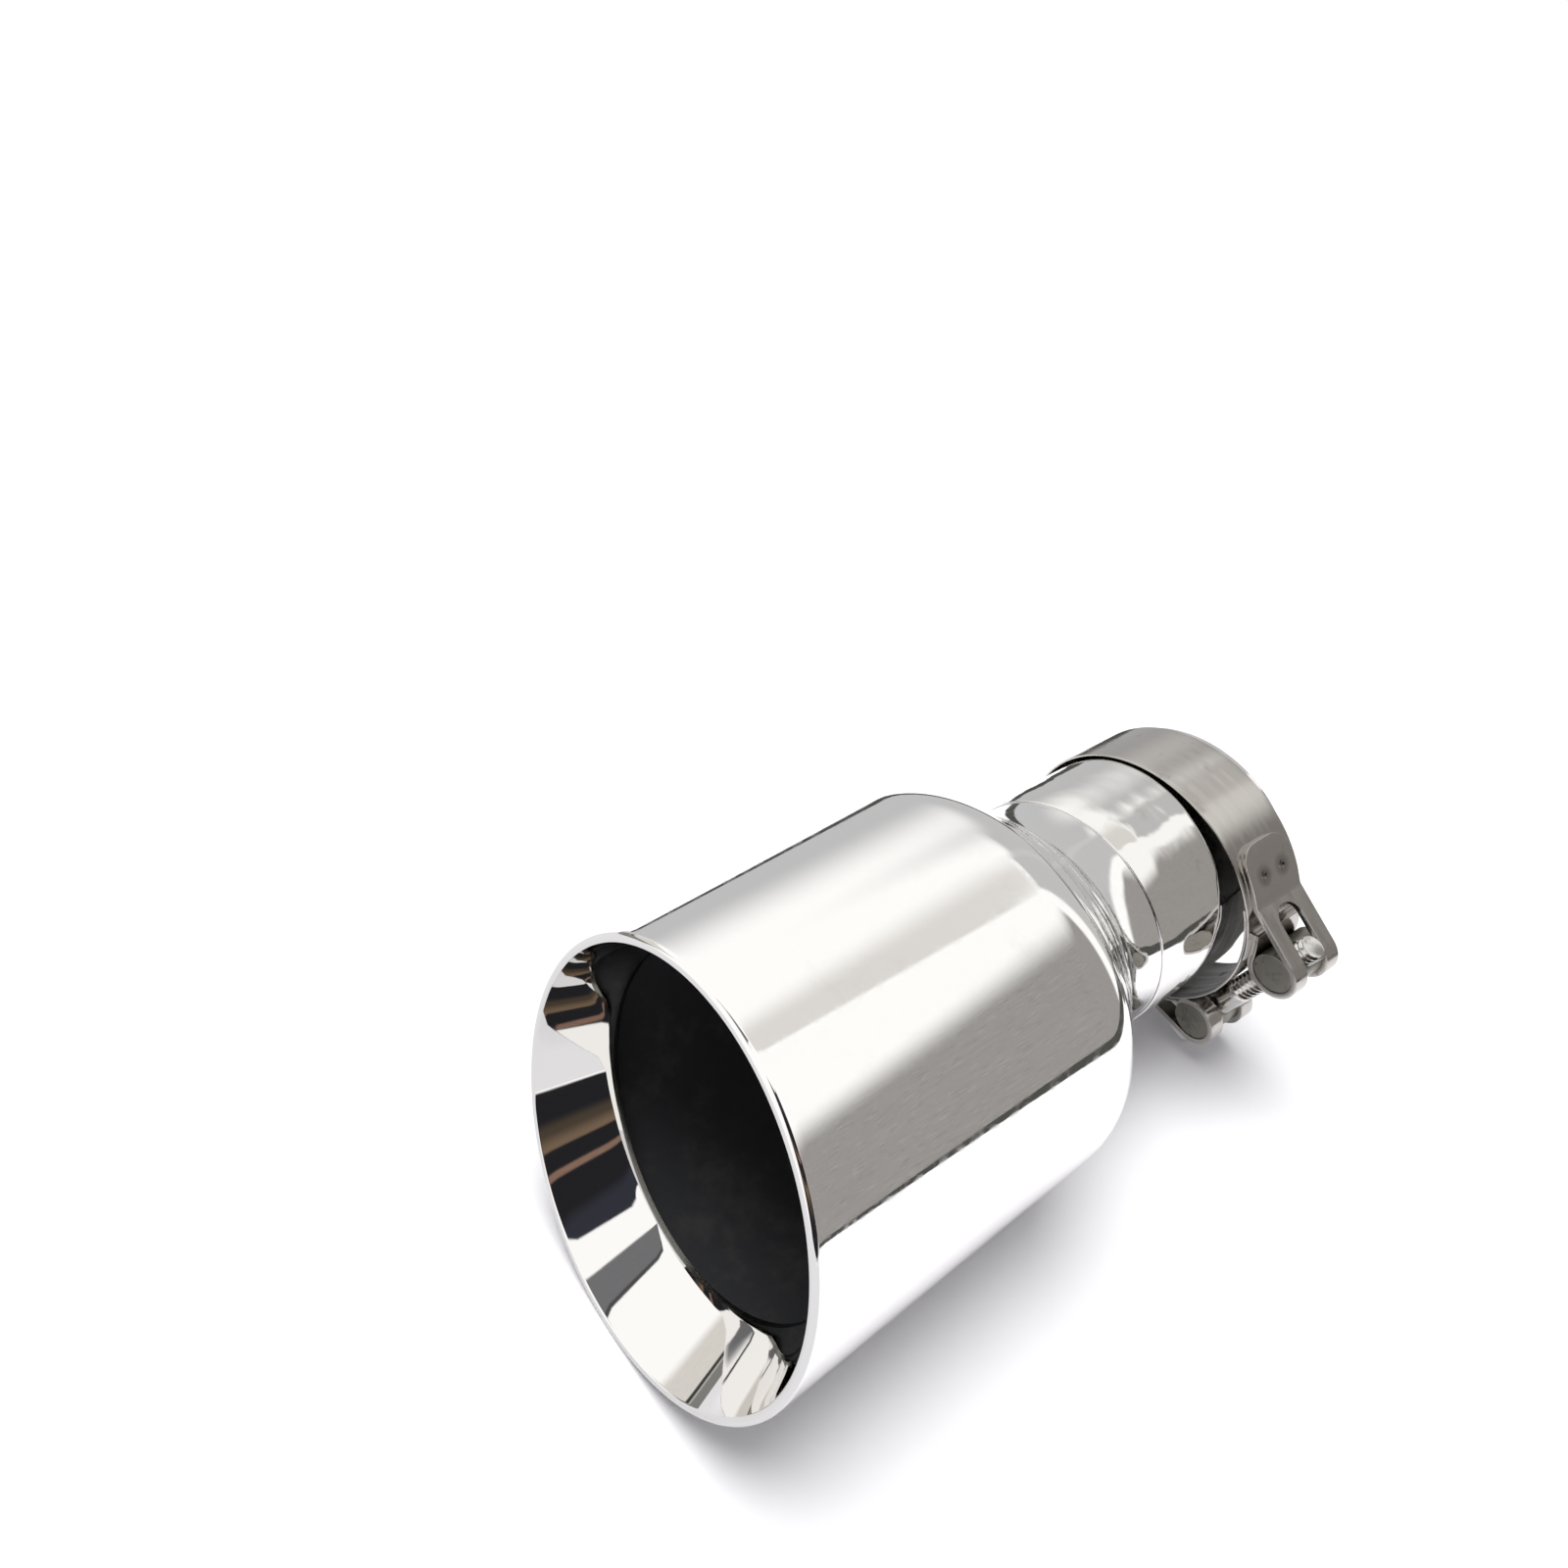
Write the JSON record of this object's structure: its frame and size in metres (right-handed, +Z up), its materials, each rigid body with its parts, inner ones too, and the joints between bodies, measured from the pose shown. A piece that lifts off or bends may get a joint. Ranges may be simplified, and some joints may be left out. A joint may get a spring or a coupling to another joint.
{
  "type": "exhaust tip",
  "caption": "Slant-cut double-edged polished steel exhaust tip with a stepped inlet sleeve and a loose band clamp with a cross bolt.",
  "frame": {"origin": "centre of the inlet end, on the pipe's axis", "axes": "+X along the pipe's axis from inlet to outlet, +Z up as it lies on a surface, +Y towards the side that the clamp's bolt is nearest to"},
  "size_m": [0.2052, 0.105, 0.1016],
  "materials": {
    "polished_steel": "mirror polished",
    "liner_steel": "half polished",
    "sleeve_steel": "satin",
    "clamp_steel": "satin",
    "barrel_steel": "dull turned",
    "bolt_steel": "bright"
  },
  "bodies": {
    "tip_and_clamp": {"outer_shell": "polished_steel", "outlet_liner": "liner_steel", "inlet_sleeve": "sleeve_steel", "clamp_band": "clamp_steel", "bridge_plate": "clamp_steel", "threaded_side_strap": "clamp_steel", "plain_side_strap": "clamp_steel", "threaded_barrel": "barrel_steel", "plain_barrel": "barrel_steel"},
    "bolt": {"clamp_bolt": "bolt_steel"}
  },
  "joints": [
    {"name": "bolt_turn", "type": "hinge", "parent": "tip_and_clamp", "child": "bolt", "pos_m": [0.01579, 0.03896, -0.01892], "axis": [0.0705, 0.4046, 0.9118], "continuous": true}
  ]
}
